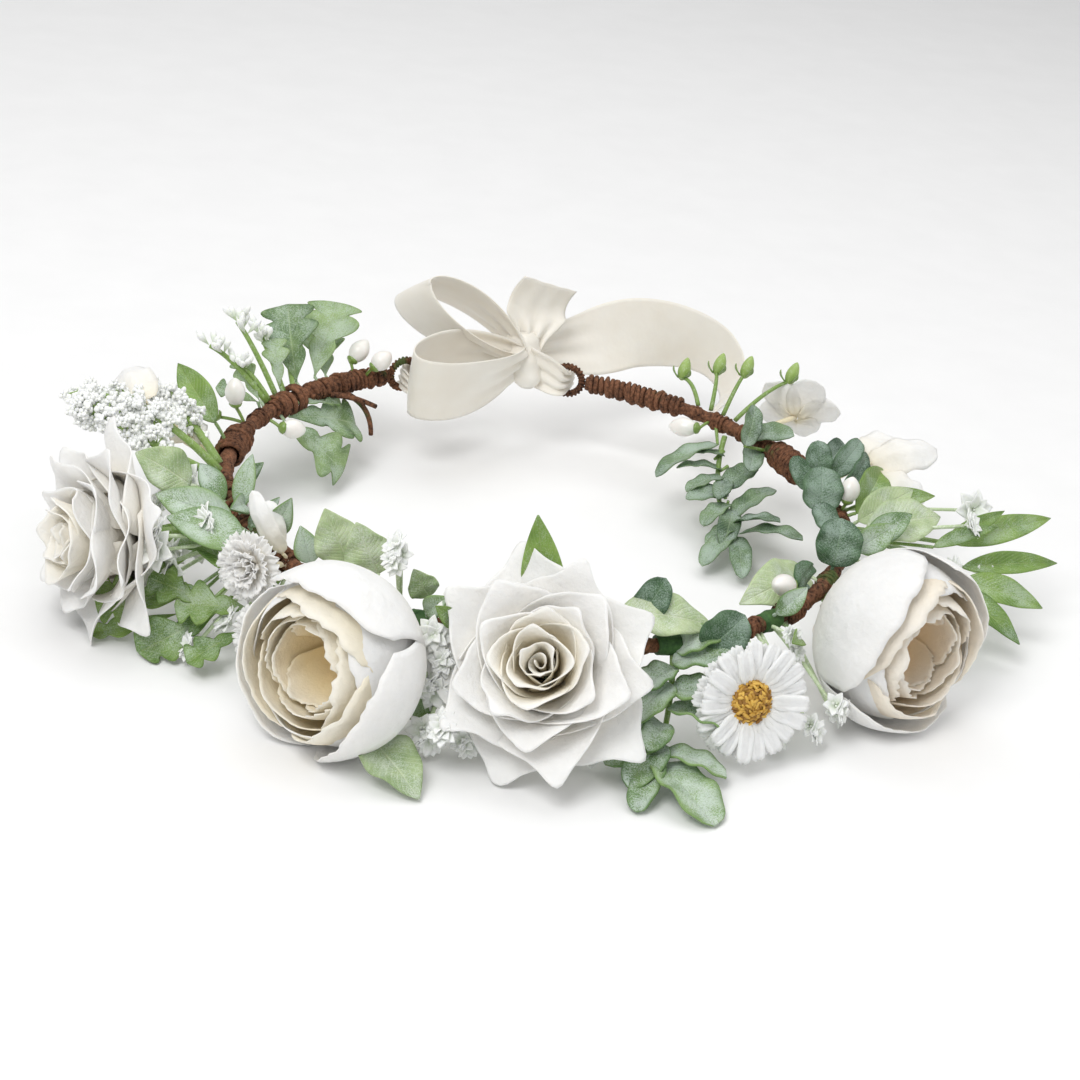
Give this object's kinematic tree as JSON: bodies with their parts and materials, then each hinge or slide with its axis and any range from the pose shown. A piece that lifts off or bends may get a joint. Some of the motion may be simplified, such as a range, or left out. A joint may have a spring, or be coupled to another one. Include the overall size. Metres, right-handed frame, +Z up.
{
  "type": "flower crown",
  "caption": "Open wire hair crown bound in twine, with cloth flowers, frosted greenery, berries and a ribbon bow at the back.",
  "frame": {"origin": "centre of the hoop, in the plane of its core wire", "axes": "+Z up out of the head opening, +Y towards the gap with the ribbon bow, +X to the right seen from the front"},
  "size_m": [0.2956, 0.2389, 0.0598],
  "materials": {
    "wire": "bare wire core",
    "brown_twine": "fibrous paper twine",
    "green_tape": "waxed florist tape",
    "white_petal": "pressed satin cloth",
    "green_stem": "moulded stems",
    "frosted_leaf": "frosted with white flock",
    "green_leaf": "printed cloth leaf",
    "white_foam": "small moulded florets and foam beads",
    "pollen": "golden brown grains",
    "berry": "pearly white",
    "ivory_ribbon": "ivory satin"
  },
  "bodies": {
    "crown_front": {"brown_bindings": "brown_twine", "daisy_centre": "pollen", "daisy_petals": "white_petal", "daisy_stem": "green_stem", "foam_beads": "white_foam", "foam_stems": "green_stem", "fringed_petals": "white_petal", "front_berries": "berry", "front_fillers": "white_foam", "front_rose_calyx": "green_stem", "front_rose_inner_petals": "white_petal", "front_rose_middle_petals": "white_petal", "front_rose_outer_petals": "white_petal", "front_twine": "brown_twine", "front_wire": "wire", "frosted_leaves": "frosted_leaf", "frosted_sprig_leaves": "frosted_leaf", "frosted_sprig_stem": "green_stem", "green_blades": "green_leaf", "green_tape": "green_tape", "ivy_leaves": "green_leaf", "left_flex_binding": "brown_twine", "left_peony_calyx": "green_stem", "left_peony_inner_petals": "white_petal", "left_peony_outer_petals": "white_petal", "magnolia_petals": "white_petal", "right_flex_binding": "brown_twine", "right_peony_calyx": "green_stem", "right_peony_inner_petals": "white_petal", "right_peony_outer_petals": "white_petal", "round_leaves": "frosted_leaf", "side_rose_calyx": "green_stem", "side_rose_inner_petals": "white_petal", "side_rose_middle_petals": "white_petal", "side_rose_outer_petals": "white_petal", "smooth_leaves": "green_leaf", "star_flowers": "white_foam"},
    "left_arm": {"left_arm_wire": "wire", "left_arm_twine": "brown_twine", "left_eyelet": "brown_twine", "lobed_leaves": "green_leaf", "left_arm_berries": "berry", "filler_stems": "green_stem", "filler_florets": "white_foam", "arm_twigs": "brown_twine", "left_strand": "ivory_ribbon"},
    "right_arm": {"right_arm_wire": "wire", "right_arm_twine": "brown_twine", "right_eyelet": "brown_twine", "hanging_sprig_stem": "green_stem", "hanging_sprig_leaves": "frosted_leaf", "blossom_petals": "white_petal", "right_arm_buds": "green_stem", "right_arm_berry": "berry", "right_strand": "ivory_ribbon"},
    "bow": {"bow_knot": "ivory_ribbon", "bow_loop_low": "ivory_ribbon", "bow_loop_high": "ivory_ribbon", "bow_tail_short": "ivory_ribbon", "bow_tail_long": "ivory_ribbon"}
  },
  "joints": [
    {"name": "left_arm_flex", "type": "hinge", "parent": "crown_front", "child": "left_arm", "pos_m": [-0.08369, 0.02719, 0], "axis": [0, 0, 1], "range_deg": [-2, 6], "stiffness_Nm_per_rad": 0.15},
    {"name": "right_arm_flex", "type": "hinge", "parent": "crown_front", "child": "right_arm", "pos_m": [0.08369, 0.02719, 0], "axis": [0, 0, -1], "range_deg": [-2, 6], "stiffness_Nm_per_rad": 0.15},
    {"name": "bow_swing", "type": "hinge", "parent": "crown_front", "child": "bow", "pos_m": [0.012, 0.087, 0.006], "axis": [-1, 0, 0], "range_deg": [0, 20]}
  ]
}
